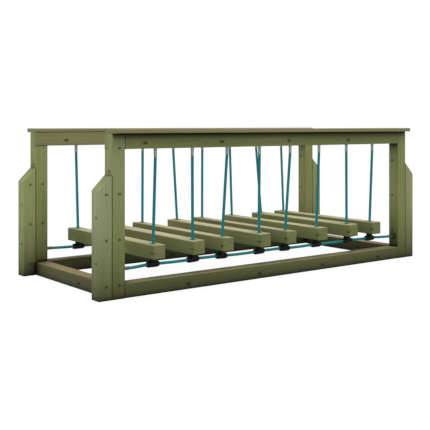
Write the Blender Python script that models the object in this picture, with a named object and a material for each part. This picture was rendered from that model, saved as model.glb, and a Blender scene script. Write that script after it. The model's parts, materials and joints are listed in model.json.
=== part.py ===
"""Playground bridge: eight swing beams hung on ropes between two handrail beams.

Metres, +Z up. The origin is on the ground at the middle of the bridge, +X runs along it from
entry to entry, and +Y runs across it towards the back.
"""

from math import atan, cos, pi, radians, sin

import bmesh
import bpy
from mathutils import Matrix, Vector

# Timber sections and how far the frame reaches
TIMBER = 0.095
ARRIS_RADIUS = 0.005
ARRIS_STEPS = 2
LENGTH_OVER_POSTS = 2.810
WIDTH_OVER_POSTS = 1.180
OVERALL_HEIGHT = 1.070
CAP_WIDTH = 0.145
CAP_THICKNESS = 0.028
TOP_BEAM_HEIGHT = 0.099
LAP_DEPTH = TIMBER / 2
BUTTRESS_HIGH = 0.780
BUTTRESS_LOW = 0.685

# Swing beams, and the lean in degrees at which each one rests, positive towards +X
BEAM_COUNT = 8
BEAM_PITCH = 0.300
BEAM_LENGTH = 1.180
BEAM_TOP = 0.315
RESTING_LEANS = (0.1, 2.3, -2.0, 1.9, -2.3, -0.1, 3.3, 0.2)

# Ropes, and the metal sleeves on their ends
ROPE_RADIUS = 0.010
ROPE_INSET_PER_DROP = 0.0485
FERRULE_RADIUS = 0.0118
FERRULE_LENGTH = 0.055
SOCKET_RADIUS = 0.0107
BOTTOM_ROPE_HEIGHT = 0.180
BOTTOM_ROPE_SAG = 0.001
ROPE_STIFFNESS = 0.30

# Moulded connectors under the swing beams
CONNECTOR_LENGTH = 0.094
CONNECTOR_RADIUS = 0.021
CONNECTOR_END_RADIUS = 0.0165
CONNECTOR_TAPER = 0.011
NECK_RADIUS = 0.0235
NECK_SHOULDER = 0.006

# Holes for the ropes, and the gap that touching pieces keep
BORE_RADIUS = 0.0108
COUNTERSINK_RADIUS = 0.0160
COUNTERSINK_DEPTH = 0.0055
GAP = 0.0003

ROUND_STEPS = 16
ROPE_STEPS = 12
MERGE_DISTANCE = 0.00001
SHARP_ANGLE = radians(35)

# Places worked out from the sizes above
POST_TOP = OVERALL_HEIGHT - CAP_THICKNESS
BEAM_UNDERSIDE = BEAM_TOP - TIMBER
TOP_BEAM_UNDERSIDE = POST_TOP - TOP_BEAM_HEIGHT
PIVOT_HEIGHT = TOP_BEAM_UNDERSIDE - FERRULE_LENGTH
POST_X = LENGTH_OVER_POSTS / 2 - TIMBER / 2
POST_Y = WIDTH_OVER_POSTS / 2 - TIMBER / 2
BUTTRESS_X = LENGTH_OVER_POSTS / 2 + TIMBER / 2
CAP_Y = WIDTH_OVER_POSTS / 2 - TIMBER + CAP_WIDTH / 2
LONG_SPAN = LENGTH_OVER_POSTS - 2 * TIMBER - 2 * GAP
CROSS_SPAN = WIDTH_OVER_POSTS - 2 * TIMBER - 2 * GAP
CONNECTOR_DROP = PIVOT_HEIGHT - BOTTOM_ROPE_HEIGHT
CONNECTOR_Y = POST_Y - CONNECTOR_DROP * ROPE_INSET_PER_DROP
ROPE_TILT = atan(ROPE_INSET_PER_DROP)
LAP_Y = WIDTH_OVER_POSTS / 2 - TIMBER + LAP_DEPTH
SIDES = {"front": -1, "back": 1}
ENDS = {"left": -1, "right": 1}


def clear_scene():
    """Start from an empty scene."""
    for thing in list(bpy.data.objects):
        bpy.data.objects.remove(thing, do_unlink=True)


def principled(name, colour, roughness, metallic):
    """A plain material with one colour, roughness and metallic value."""
    material = bpy.data.materials.new(name)
    material.use_nodes = True
    shader = material.node_tree.nodes["Principled BSDF"]
    shader.inputs["Base Color"].default_value = (*colour, 1.0)
    shader.inputs["Roughness"].default_value = roughness
    shader.inputs["Metallic"].default_value = metallic
    return material


def timber_material():
    """Softwood pressure treated to a dull olive green."""
    return principled("treated_timber", (0.17, 0.18, 0.08), 0.75, 0.0)


def rope_material():
    """Teal polypropylene rope."""
    return principled("teal_rope", (0.02, 0.16, 0.17), 0.6, 0.0)


def add_object(name, mesh, material, location=(0, 0, 0), parent=None):
    """Put a mesh into the scene under its own name."""
    thing = bpy.data.objects.new(name, mesh)
    thing.location = location
    thing.parent = parent
    if material:
        mesh.materials.append(material)
    bpy.context.scene.collection.objects.link(thing)
    return thing


def as_guide(thing):
    """Keep an object only as the tool of a Boolean modifier."""
    thing.hide_render = True
    thing.display_type = "WIRE"
    return thing


def to_mesh(name, bm):
    """Write a bmesh into a new mesh with its faces pointing out."""
    bmesh.ops.recalc_face_normals(bm, faces=bm.faces)
    mesh = bpy.data.meshes.new(name)
    bm.to_mesh(mesh)
    bm.free()
    return mesh


def shade_round(mesh):
    """Smooth shading with the corners kept sharp."""
    mesh.shade_smooth()
    mesh.set_sharp_from_angle(angle=SHARP_ANGLE)


def combine(thing, tool, operation):
    """Join a guide to an object, or cut it away."""
    step = thing.modifiers.new(f"{operation.lower()}_{tool.name}", "BOOLEAN")
    step.operation = operation
    step.solver = "EXACT"
    step.object = tool


def block(size):
    """A box of the given size about the origin."""
    bm = bmesh.new()
    bmesh.ops.create_cube(bm, size=1.0)
    bmesh.ops.scale(bm, verts=bm.verts, vec=size)
    return bm


def ease_long_edges(bm, axis):
    """Round the edges that run along one axis."""
    across = [n for n in range(3) if n != axis]
    long_edges = [
        edge
        for edge in bm.edges
        if all(abs(edge.verts[0].co[n] - edge.verts[1].co[n]) < MERGE_DISTANCE for n in across)
    ]
    bmesh.ops.bevel(
        bm,
        geom=long_edges,
        offset=ARRIS_RADIUS,
        segments=ARRIS_STEPS,
        profile=0.5,
        affect="EDGES",
    )


def timber(name, size, centre, material, parent=None):
    """A sawn timber with rounded arrises along its longest side."""
    bm = block(size)
    ease_long_edges(bm, max(range(3), key=lambda n: size[n]))
    return add_object(name, to_mesh(name, bm), material, centre, parent)


def buttress(name, end, side, material):
    """A short post against the outer face of a main post, its top cut to a slope."""
    bm = block((TIMBER, TIMBER, BUTTRESS_HIGH))
    for corner in bm.verts:
        if corner.co.z > 0 and corner.co.x * end > 0:
            corner.co.z -= BUTTRESS_HIGH - BUTTRESS_LOW
    ease_long_edges(bm, 2)
    centre = (end * (BUTTRESS_X + GAP), side * POST_Y, BUTTRESS_HIGH / 2)
    return add_object(name, to_mesh(name, bm), material, centre)


def turned(profile, steps):
    """A solid of revolution about Z: profile points are (radius, height), ending on the axis."""
    bm = bmesh.new()
    points = [bm.verts.new((radius, 0, height)) for radius, height in profile]
    edges = [bm.edges.new(pair) for pair in zip(points, points[1:])]
    bmesh.ops.spin(bm, geom=points + edges, cent=(0, 0, 0), axis=(0, 0, 1), angle=2 * pi, steps=steps)
    bmesh.ops.remove_doubles(bm, verts=bm.verts, dist=MERGE_DISTANCE)
    return bm


def cylinder(radius, low, high, steps=ROUND_STEPS):
    """An upright cylinder between two heights."""
    return turned([(0, low), (radius, low), (radius, high), (0, high)], steps)


def moved(bm, matrix):
    """Turn and shift a bmesh."""
    bmesh.ops.transform(bm, matrix=matrix, verts=bm.verts)
    return bm


def gathered(name, solids):
    """Several separate solids in one mesh."""
    whole = bmesh.new()
    for bm in solids:
        bmesh.ops.recalc_face_normals(bm, faces=bm.faces)
        piece = bpy.data.meshes.new("piece")
        bm.to_mesh(piece)
        bm.free()
        whole.from_mesh(piece)
        bpy.data.meshes.remove(piece)
    mesh = bpy.data.meshes.new(name)
    whole.to_mesh(mesh)
    whole.free()
    return mesh


def pivot_x(number):
    """Where along the bridge a swing beam hangs, counted from 1 at the left entry."""
    return (number - (BEAM_COUNT + 1) / 2) * BEAM_PITCH


def cut_away(thing, name, centre, size):
    """Cut a box out of an object."""
    combine(thing, as_guide(add_object(name, to_mesh(name, block(size)), None, centre)), "DIFFERENCE")


def make_main_post(corner, end, side, material):
    """A corner post, its top notched on the inner side where the top beam's tongue laps it."""
    centre = (end * POST_X, side * POST_Y, POST_TOP / 2)
    post = timber(f"main_post_{corner}", (TIMBER, TIMBER, POST_TOP), centre, material)
    notch_centre = (
        end * POST_X,
        side * (LAP_Y + GAP - TIMBER / 2),
        TOP_BEAM_UNDERSIDE - GAP + TOP_BEAM_HEIGHT,
    )
    cut_away(post, f"notch_{corner}", notch_centre, (2 * TIMBER, TIMBER, 2 * TOP_BEAM_HEIGHT))


def make_frame(material):
    """Posts, buttresses, rails and caps."""
    for end_name, end in ENDS.items():
        for side_name, side in SIDES.items():
            corner = f"{side_name}_{end_name}"
            make_main_post(corner, end, side, material)
            buttress(f"buttress_post_{corner}", end, side, material)
        centre = (end * POST_X, 0, TIMBER / 2)
        timber(f"end_rail_{end_name}", (TIMBER, CROSS_SPAN, TIMBER), centre, material)
    for side_name, side in SIDES.items():
        centre = (0, side * POST_Y, TIMBER / 2)
        timber(f"side_rail_{side_name}", (LONG_SPAN, TIMBER, TIMBER), centre, material)
        size = (LENGTH_OVER_POSTS, CAP_WIDTH, CAP_THICKNESS)
        centre = (0, side * CAP_Y, OVERALL_HEIGHT - CAP_THICKNESS / 2 + GAP)
        timber(f"cap_board_{side_name}", size, centre, material)


def make_top_beam(side_name, side, material):
    """A handrail beam: a tongue at each end laps the post, and rope sleeves hang from its underside."""
    centre = (0, side * POST_Y, TOP_BEAM_UNDERSIDE + TOP_BEAM_HEIGHT / 2)
    size = (LENGTH_OVER_POSTS, TIMBER, TOP_BEAM_HEIGHT)
    beam = timber(f"top_beam_{side_name}", size, centre, material)
    cheek = (2 * TIMBER, TIMBER, 2 * TOP_BEAM_HEIGHT)
    for end_name, end in ENDS.items():
        cheek_centre = (end * (LONG_SPAN / 2 + TIMBER), side * (LAP_Y + TIMBER / 2), centre[2])
        cut_away(beam, f"cheek_{side_name}_{end_name}", cheek_centre, cheek)
    places = [
        Matrix.Translation((pivot_x(number), side * POST_Y, PIVOT_HEIGHT))
        for number in range(1, BEAM_COUNT + 1)
    ]
    into_beam = FERRULE_LENGTH + TIMBER / 4
    sleeves = [moved(cylinder(FERRULE_RADIUS, 0, into_beam), place) for place in places]
    sockets = [moved(ball(SOCKET_RADIUS), place) for place in places]
    joined = as_guide(add_object(f"sleeves_{side_name}", gathered("sleeves", sleeves), None))
    hollows = as_guide(add_object(f"sockets_{side_name}", gathered("sockets", sockets), None))
    combine(beam, joined, "UNION")
    combine(beam, hollows, "DIFFERENCE")
    shade_round(beam.data)


def ball(radius):
    """A ball whose poles are on the Z axis."""
    half = ROUND_STEPS // 2
    profile = [(radius * sin(pi * n / half), -radius * cos(pi * n / half)) for n in range(1, half)]
    return turned([(0, -radius), *profile, (0, radius)], ROUND_STEPS)


def rope_way(side):
    """The frame of a plumb rope: its origin at the sleeve's mouth, its -Z down the rope."""
    lean_in = Matrix.Rotation(-side * ROPE_TILT, 4, "X")
    return Matrix.Translation((0, side * POST_Y, 0)) @ lean_in


def rope_solid():
    """A straight rope with a rounded head that sits in its sleeve."""
    quarter = ROPE_STEPS // 4
    head = [
        (ROPE_RADIUS * sin(pi / 2 * n / quarter), ROPE_RADIUS * cos(pi / 2 * n / quarter))
        for n in range(1, quarter + 1)
    ]
    foot = -(CONNECTOR_DROP - ROPE_RADIUS) / cos(ROPE_TILT)
    return turned([(0, ROPE_RADIUS), *head, (ROPE_RADIUS, foot), (0, foot)], ROPE_STEPS)


def connector_barrel():
    """The connector's barrel along X, tapered towards both mouths."""
    half = CONNECTOR_LENGTH / 2
    profile = [
        (0, -half),
        (CONNECTOR_END_RADIUS, -half),
        (CONNECTOR_RADIUS, CONNECTOR_TAPER - half),
        (CONNECTOR_RADIUS, half - CONNECTOR_TAPER),
        (CONNECTOR_END_RADIUS, half),
        (0, half),
    ]
    return moved(turned(profile, ROUND_STEPS), Matrix.Rotation(pi / 2, 4, "Y"))


def connector_neck():
    """The neck that stands on the barrel and carries the swing beam."""
    top = PIVOT_HEIGHT - BEAM_UNDERSIDE + GAP
    reach = CONNECTOR_DROP - top
    profile = [
        (0, 0),
        (NECK_RADIUS - NECK_SHOULDER, 0),
        (NECK_RADIUS, NECK_SHOULDER),
        (NECK_RADIUS, reach),
        (0, reach),
    ]
    return turned(profile, ROUND_STEPS)


def make_hanging_rope(side_name, side, number, material, pivot):
    """One hanging rope with the moulded connector on its lower end."""
    place_name = f"{side_name}_{number}"
    name = f"hanging_rope_{place_name}"
    rope_mesh = to_mesh(name, moved(rope_solid(), rope_way(side)))
    rope = add_object(name, rope_mesh, material, parent=pivot)
    place = Matrix.Translation((0, side * CONNECTOR_Y, -CONNECTOR_DROP))
    for label, solid in (("barrel", connector_barrel()), ("neck", connector_neck())):
        solid_mesh = to_mesh(label, moved(solid, place))
        guide = add_object(f"{label}_{place_name}", solid_mesh, None, parent=pivot)
        combine(rope, as_guide(guide), "UNION")
    bore = cylinder(BORE_RADIUS, -CONNECTOR_LENGTH, CONNECTOR_LENGTH)
    bore_mesh = to_mesh("bore", moved(bore, place @ Matrix.Rotation(pi / 2, 4, "Y")))
    guide = add_object(f"bore_{place_name}", bore_mesh, None, parent=pivot)
    combine(rope, as_guide(guide), "DIFFERENCE")
    shade_round(rope.data)


def beam_bore():
    """The cutter for a rope hole, with a countersink at the beam's top face."""
    top = -(PIVOT_HEIGHT - BEAM_TOP)
    above = top + TIMBER / 2
    flare = (above - top + COUNTERSINK_DEPTH) / COUNTERSINK_DEPTH
    widest = BORE_RADIUS + (COUNTERSINK_RADIUS - BORE_RADIUS) * flare
    profile = [
        (0, top - 1.5 * TIMBER),
        (BORE_RADIUS, top - 1.5 * TIMBER),
        (BORE_RADIUS, top - COUNTERSINK_DEPTH),
        (widest, above),
        (0, above),
    ]
    return turned(profile, ROUND_STEPS)


def make_swing_beam(number, material, pivot):
    """A square beam across the bridge, bored near both ends for its two ropes."""
    name = f"swing_beam_{number}"
    centre = (0, 0, BEAM_TOP - TIMBER / 2 - PIVOT_HEIGHT)
    beam = timber(name, (TIMBER, BEAM_LENGTH, TIMBER), centre, material, pivot)
    cutters = [moved(beam_bore(), rope_way(side)) for side in SIDES.values()]
    guide = add_object(f"bores_{number}", gathered("bores", cutters), None, parent=pivot)
    combine(beam, as_guide(guide), "DIFFERENCE")
    shade_round(beam.data)


def make_pivot(number):
    """The line across the bridge about which a beam and its ropes sway, at its resting lean."""
    pivot = bpy.data.objects.new(f"sway_line_{number}", None)
    pivot.location = (pivot_x(number), 0, PIVOT_HEIGHT)
    pivot.rotation_euler = (0, -radians(RESTING_LEANS[number - 1]), 0)
    bpy.context.scene.collection.objects.link(pivot)
    return pivot


def connector_mouth(number, side, end):
    """A mouth of a connector at rest, and the direction along its barrel."""
    turn = Matrix.Rotation(-radians(RESTING_LEANS[number - 1]), 4, "Y")
    local = Vector((end * CONNECTOR_LENGTH / 2, side * CONNECTOR_Y, -CONNECTOR_DROP))
    place = Vector((pivot_x(number), 0, PIVOT_HEIGHT)) + turn @ local
    return place, turn @ Vector((1, 0, 0))


def span_points(start, start_way, finish, finish_way, count):
    """Points of a Hermite curve between two places, sagging without changing its end directions."""
    reach = (finish - start).length * ROPE_STIFFNESS
    points = []
    for n in range(1, count):
        t = n / count
        blend_start = 2 * t**3 - 3 * t**2 + 1
        leave = (t**3 - 2 * t**2 + t) * reach
        arrive = (t**3 - t**2) * reach
        point = start * blend_start + start_way * leave + finish * (1 - blend_start) + finish_way * arrive
        point.z -= BOTTOM_ROPE_SAG * 16 * t**2 * (1 - t) ** 2
        points.append(point)
    return points


def bottom_rope_route(side):
    """Places along a bottom rope with its radius there as a share of ROPE_RADIUS."""
    along = Vector((1, 0, 0))
    anchor_x = POST_X - TIMBER / 2 - GAP
    wide = FERRULE_RADIUS / ROPE_RADIUS
    step = Vector((GAP, 0, 0))
    anchor = Vector((-anchor_x, side * POST_Y, BOTTOM_ROPE_HEIGHT))
    mouth = anchor + Vector((FERRULE_LENGTH, 0, 0))
    route = [(anchor, wide), (mouth, wide), (mouth + step, 1.0)]
    here, way = mouth + step, along
    for number in range(1, BEAM_COUNT + 1):
        near, near_way = connector_mouth(number, side, -1)
        far, far_way = connector_mouth(number, side, 1)
        route += [(point, 1.0) for point in span_points(here, way, near, near_way, 5)]
        route += [(near, 1.0), (far, 1.0)]
        here, way = far, far_way
    far_anchor = Vector((anchor_x, side * POST_Y, BOTTOM_ROPE_HEIGHT))
    far_mouth = far_anchor - Vector((FERRULE_LENGTH, 0, 0))
    route += [(point, 1.0) for point in span_points(here, way, far_mouth - step, along, 5)]
    return route + [(far_mouth - step, 1.0), (far_mouth, wide), (far_anchor, wide)]


def make_bottom_rope(side_name, side, material):
    """The rope from post to post through every connector, with a sleeve at each end."""
    route = bottom_rope_route(side)
    curve = bpy.data.curves.new(f"bottom_rope_{side_name}", "CURVE")
    curve.dimensions = "3D"
    curve.bevel_depth = ROPE_RADIUS
    curve.bevel_resolution = 4
    curve.use_fill_caps = True
    spline = curve.splines.new("POLY")
    spline.points.add(len(route) - 1)
    for point, (place, share) in zip(spline.points, route):
        point.co = (*place, 1.0)
        point.radius = share
    add_object(f"bottom_rope_{side_name}", curve, material)


def make_swing_beams(timber_finish, rope_finish):
    """Every swing beam with its two ropes, hung on its own sway line."""
    for number in range(1, BEAM_COUNT + 1):
        pivot = make_pivot(number)
        make_swing_beam(number, timber_finish, pivot)
        for side_name, side in SIDES.items():
            make_hanging_rope(side_name, side, number, rope_finish, pivot)


def main():
    """Model the whole bridge."""
    clear_scene()
    timber_finish = timber_material()
    rope_finish = rope_material()
    make_frame(timber_finish)
    for side_name, side in SIDES.items():
        make_top_beam(side_name, side, timber_finish)
        make_bottom_rope(side_name, side, rope_finish)
    make_swing_beams(timber_finish, rope_finish)


main()
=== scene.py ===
# %% [markdown]
# # A swing-beam bridge in green timber and teal rope
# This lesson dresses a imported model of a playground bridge. Eight square beams hang on ropes
# between two handrails, and each beam sways under the feet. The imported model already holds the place
# of every piece, so each piece here reads its place from it and adds shape and finish.
# Units are metres, +Z is up, +X runs along the bridge and +Y across it, towards the back.

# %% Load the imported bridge
import json
from math import atan, pi, radians

import bmesh
import bpy
import numpy as np
from mathutils import Matrix, Vector


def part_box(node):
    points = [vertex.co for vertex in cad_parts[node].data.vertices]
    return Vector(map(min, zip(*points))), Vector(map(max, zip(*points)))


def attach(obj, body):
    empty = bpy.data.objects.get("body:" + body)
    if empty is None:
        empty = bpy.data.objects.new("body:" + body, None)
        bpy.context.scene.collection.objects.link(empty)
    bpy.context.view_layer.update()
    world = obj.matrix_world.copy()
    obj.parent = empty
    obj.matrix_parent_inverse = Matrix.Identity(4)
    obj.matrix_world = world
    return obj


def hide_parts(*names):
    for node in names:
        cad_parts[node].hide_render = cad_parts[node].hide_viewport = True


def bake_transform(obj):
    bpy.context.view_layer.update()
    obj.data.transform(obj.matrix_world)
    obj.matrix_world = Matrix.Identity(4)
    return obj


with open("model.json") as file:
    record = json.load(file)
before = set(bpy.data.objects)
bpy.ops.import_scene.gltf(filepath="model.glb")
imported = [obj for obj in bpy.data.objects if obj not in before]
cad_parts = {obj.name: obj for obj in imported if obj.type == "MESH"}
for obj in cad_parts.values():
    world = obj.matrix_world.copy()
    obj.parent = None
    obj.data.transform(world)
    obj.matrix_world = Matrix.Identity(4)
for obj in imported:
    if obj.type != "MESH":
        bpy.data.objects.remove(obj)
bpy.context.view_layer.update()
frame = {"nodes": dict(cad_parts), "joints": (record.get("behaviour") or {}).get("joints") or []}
print("nodes in the packed bridge:", len(frame["nodes"]))

# %% [markdown]
# ## Camera
# In the picture the posts are upright and parallel. A tilted camera would make them lean together,
# so it stays level, at a standing child's eye height, and its lens is shifted down instead. The focal
# length and the place come from fitting the timber edges.

# %% Place the camera
PICTURE_SIDE = 430
FOCAL_PIXELS = 826.15
AXIS_PIXEL = (201.65, 124.8)
CAMERA_TURN = radians(36.882)
CAMERA_PLACE = (-4.0559, -5.0540, 1.0969)

lens = bpy.data.cameras.new("picture_lens")
lens.sensor_width = 36.0
lens.lens = FOCAL_PIXELS * lens.sensor_width / PICTURE_SIDE
lens.shift_x = (PICTURE_SIDE / 2 - AXIS_PIXEL[0]) / PICTURE_SIDE
lens.shift_y = (AXIS_PIXEL[1] - PICTURE_SIDE / 2) / PICTURE_SIDE
camera = bpy.data.objects.new("picture_camera", lens)
camera.location = CAMERA_PLACE
camera.rotation_euler = (pi / 2, 0, -CAMERA_TURN)
bpy.context.scene.collection.objects.link(camera)
bpy.context.scene.camera = camera
print("lens:", round(lens.lens, 2), "mm, shift:", round(lens.shift_x, 4), round(lens.shift_y, 4))

# %% [markdown]
# ## Helpers for nodes
# A material is a graph of nodes, and added one by one they hide the formula that they work out. So
# what comes out of a node is wrapped in a class, whose plus, minus, times and divide add Math nodes.

# %% Node helpers
# A Mix node has sockets for every kind of value, so those for colours are known by their numbers
MIX_SHARE, MIX_FIRST, MIX_SECOND, MIX_RESULT = 0, 6, 7, 2


class Flow:
    """What comes out of a node. Arithmetic on it adds Math nodes to its tree."""

    def __init__(self, tree, socket):
        self.tree = tree
        self.socket = socket

    def __add__(self, other):
        return work_out("ADD", self, other)

    def __sub__(self, other):
        return work_out("SUBTRACT", self, other)

    def __rsub__(self, other):
        return work_out("SUBTRACT", other, self)

    def __mul__(self, other):
        return work_out("MULTIPLY", self, other)

    def __truediv__(self, other):
        return work_out("DIVIDE", self, other)


def fill(node, inputs):
    """Give each named input of a node a flow, a number, or a colour of three numbers."""
    for name, value in inputs.items():
        socket = node.inputs[name]
        if isinstance(value, Flow):
            value.tree.links.new(value.socket, socket)
        else:
            socket.default_value = (*value, 1.0) if socket.type == "RGBA" else value


def flow(tree, kind, output, inputs=None, **settings):
    """Add a node, set its options, fill its inputs and give one of its outputs."""
    node = tree.nodes.new(kind)
    for name, value in settings.items():
        setattr(node, name, value)
    fill(node, inputs or {})
    return Flow(tree, node.outputs[output])


def tree_of(*values):
    """The tree of the first flow among some values."""
    return next(value.tree for value in values if isinstance(value, Flow))


def work_out(operation, *values):
    """One Math node on numbers and flows."""
    return flow(tree_of(*values), "ShaderNodeMath", 0, dict(enumerate(values)), operation=operation)


def between(value, low, high, at_low=0.0, at_high=1.0):
    """A smooth step: at_low up to low, at_high from high on, and an S curve in between."""
    inputs = {"Value": value, "From Min": low, "From Max": high, "To Min": at_low, "To Max": at_high}
    return flow(value.tree, "ShaderNodeMapRange", 0, inputs, interpolation_type="SMOOTHSTEP")


def mix_colours(share, first, second, how="MIX"):
    """The first colour where share is 0 and the second where it is 1."""
    inputs = {MIX_SHARE: share, MIX_FIRST: first, MIX_SECOND: second}
    tree = tree_of(share, first)
    return flow(tree, "ShaderNodeMix", MIX_RESULT, inputs, data_type="RGBA", blend_type=how)


print("node helpers ready")

# %% [markdown]
# Patterns need a few more: noise, a coordinate stretched along one axis, the three numbers of a
# vector, and a distance. Each material starts empty and ends with the same links to its shader.

# %% Helpers for patterns and materials
def noise(place, scale, detail=2.0, roughness=0.5):
    """Smooth random blotches, about one for each 1 / scale of the coordinate."""
    inputs = {"Vector": place, "Scale": scale, "Detail": detail, "Roughness": roughness}
    return flow(place.tree, "ShaderNodeTexNoise", "Fac", inputs)


def stretched(place, scale):
    """The same coordinate, multiplied by its own number along each axis."""
    return flow(place.tree, "ShaderNodeVectorMath", 0, {0: place, 1: scale}, operation="MULTIPLY")


def split(vector):
    """The three numbers of a vector."""
    first = flow(vector.tree, "ShaderNodeSeparateXYZ", 0, {0: vector})
    return [Flow(vector.tree, socket) for socket in first.socket.node.outputs]


def long_side(first, second):
    """The long side of a right triangle, from its two short ones."""
    return work_out("SQRT", first * first + second * second)


def new_material(name):
    """An empty material with its tree and its shader."""
    material = bpy.data.materials.new(name)
    material.use_nodes = True
    return material, material.node_tree, material.node_tree.nodes["Principled BSDF"]


def finish_shader(shader, colour, bump, others):
    """Link a shader's colour and its bump, and fill its other inputs."""
    normal = flow(colour.tree, "ShaderNodeBump", "Normal", bump)
    fill(shader, {"Base Color": colour, "Normal": normal, **others})


print("pattern helpers ready")

# %% [markdown]
# ## Floor and light
# The picture has no shadows on its floor: the light comes evenly from a pale sky, so a dome does it
# best. Its light falls off towards the horizon, which darkens what faces down, while the camera sees
# plain white. The floor glows up to the same white, no more: a brighter one would eat into the edges
# in front of it. It is kept out of the bounced light, which would light the beams from below.

# %% Make the floor and the light
WHITE = (1.0, 1.0, 1.0)
FLOOR_HALF = 200.0
FLOOR_SHADE = 0.06
ZENITH_LIGHT = 1.35
HORIZON_LIGHT = 1.05
BELOW_LIGHT = 0.12


def make_floor():
    """A wide pale floor that isn't part of the bridge."""
    low, high = -FLOOR_HALF, FLOOR_HALF
    corners = [(low, low, 0), (high, low, 0), (high, high, 0), (low, high, 0)]
    mesh = bpy.data.meshes.new("pale_floor")
    mesh.from_pydata(corners, [], [(0, 1, 2, 3)])
    floor = bpy.data.objects.new("pale_floor", mesh)
    bpy.context.scene.collection.objects.link(floor)
    material, _, shader = new_material("pale_floor")
    fill(shader, {
        "Base Color": (FLOOR_SHADE,) * 3,
        "Roughness": 0.9,
        "Specular IOR Level": 0.0,
        "Emission Color": WHITE,
        "Emission Strength": 1.0 - FLOOR_SHADE,
    })
    mesh.materials.append(material)
    floor.visible_diffuse = False


def make_dome():
    """Light from a sky that is brightest overhead; rays of the camera see white."""
    world = bpy.data.worlds.new("studio_dome")
    world.use_nodes = True
    tree = world.node_tree
    height = split(flow(tree, "ShaderNodeTexCoord", "Generated"))[2]
    sky = between(height, 0.0, 1.0, HORIZON_LIGHT, ZENITH_LIGHT)
    above = work_out("GREATER_THAN", height, 0.0)
    lighting = above * (sky - BELOW_LIGHT) + BELOW_LIGHT
    seen = flow(tree, "ShaderNodeLightPath", "Is Camera Ray")
    strength = seen * (1.0 - lighting) + lighting
    fill(tree.nodes["Background"], {"Strength": strength, "Color": WHITE})
    bpy.context.scene.world = world


make_floor()
make_dome()
bpy.context.scene.view_settings.view_transform = "Standard"
print("floor and dome ready")

# %% [markdown]
# ## From rings to a solid
# Nearly every piece of this bridge is a section carried along a line: a timber, a rope, a sleeve. So
# one function makes them all. It takes a stack of rings, joins each to the next with quads, closes the
# two ends, and merges the points that fall together where a ring shrinks to a corner or a pole.

# %% Skin a stack of rings
MERGE_DISTANCE = 0.000002
SHARP_ANGLE = radians(35)


def set_attribute(mesh, name, values):
    """Store one number, or one vector, for each point of a mesh."""
    values = np.asarray(values, np.float32)
    kind, field = ("FLOAT", "value") if values.ndim == 1 else ("FLOAT_VECTOR", "vector")
    mesh.attributes.new(name, kind, "POINT").data.foreach_set(field, values.ravel())


def tidied(mesh, sharp=SHARP_ANGLE):
    """Merge doubled points, drop what has no area, point the faces out, and smooth all but corners."""
    bm = bmesh.new()
    bm.from_mesh(mesh)
    bmesh.ops.remove_doubles(bm, verts=bm.verts, dist=MERGE_DISTANCE)
    bmesh.ops.dissolve_degenerate(bm, edges=bm.edges, dist=MERGE_DISTANCE)
    bmesh.ops.recalc_face_normals(bm, faces=bm.faces)
    bm.to_mesh(mesh)
    bm.free()
    mesh.shade_smooth()
    mesh.set_sharp_from_angle(angle=sharp)
    return mesh


def skin(name, rings, lay=None, sharp=SHARP_ANGLE):
    """A closed mesh over rings[i, j], where i counts rings and j goes round; lay is for ropes."""
    rows, columns, _ = rings.shape
    index = np.arange(rows * columns).reshape(rows, columns)
    after = np.roll(index, -1, axis=1)
    quads = np.stack([index[:-1], after[:-1], after[1:], index[1:]], axis=-1).reshape(-1, 4)
    faces = quads.tolist() + [index[0][::-1].tolist(), index[-1].tolist()]
    mesh = bpy.data.meshes.new(name)
    mesh.from_pydata(rings.reshape(-1, 3).tolist(), [], faces)
    if lay is not None:
        set_attribute(mesh, "lay", lay)
    return tidied(mesh, sharp)


def turned(name, profile, steps):
    """A shape turned about Z: each profile point (radius, height) becomes a level circle."""
    radius, height = np.array(profile, float).T[..., None]
    angle = np.arange(steps) * 2 * pi / steps
    rings = np.stack([radius * np.cos(angle), radius * np.sin(angle), height + 0 * angle], axis=-1)
    return skin(name, rings)


print("rings of points become closed meshes")

# %% [markdown]
# A mesh becomes a piece when an object shows it, a body carries it and it takes the place of a node of
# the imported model. Holes are cut, and shapes are joined, with exact Booleans.

# %% From a mesh to a piece
def show(name, mesh):
    """Put a mesh in the scene as an object at the origin."""
    piece = bpy.data.objects.new(name, mesh)
    bpy.context.scene.collection.objects.link(piece)
    return piece


def finish_piece(name, mesh, material, body, node):
    """Show a piece with its material, riding on its body in place of its node."""
    piece = show(name, mesh)
    mesh.materials.clear()
    mesh.materials.append(material)
    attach(piece, body)
    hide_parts(node)


def carved(name, mesh, tools):
    """A mesh after exact Booleans: tools is a list of (operation, mesh)."""
    piece = show(name, mesh)
    cutters = [show(f"{name}_tool", tool) for _, tool in tools]
    for (operation, _), cutter in zip(tools, cutters):
        step = piece.modifiers.new(operation.lower(), "BOOLEAN")
        step.operation = operation
        step.solver = "EXACT"
        step.object = cutter
    graph = bpy.context.evaluated_depsgraph_get()
    shaped = bpy.data.meshes.new_from_object(piece.evaluated_get(graph))
    for used in (piece, *cutters):
        bpy.data.objects.remove(used)
    return tidied(shaped)


print("piece helpers ready")

# %% [markdown]
# ## What a sawn timber looks like
# The posts, rails and beams are square softwood with every edge eased by a few millimetres. There is
# a plain formula for it: shrink the box by the radius on all sides, then let every point grow by the
# radius along its outward direction, which turns corners into quarter rounds. The long edges are
# planed round, and sawn ends are nearly sharp. A line close to each round keeps the faces flat.

# %% Rings of a timber
ARRIS_RADIUS = 0.005
SAWN_END_RADIUS = 0.0006
ARC_STEPS = 4
FLAT_SHARES = np.array([0.02, 0.26, 0.5, 0.74, 0.98])
CLOSE_LINE = 0.0016
STATION_SPACING = 0.06


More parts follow.
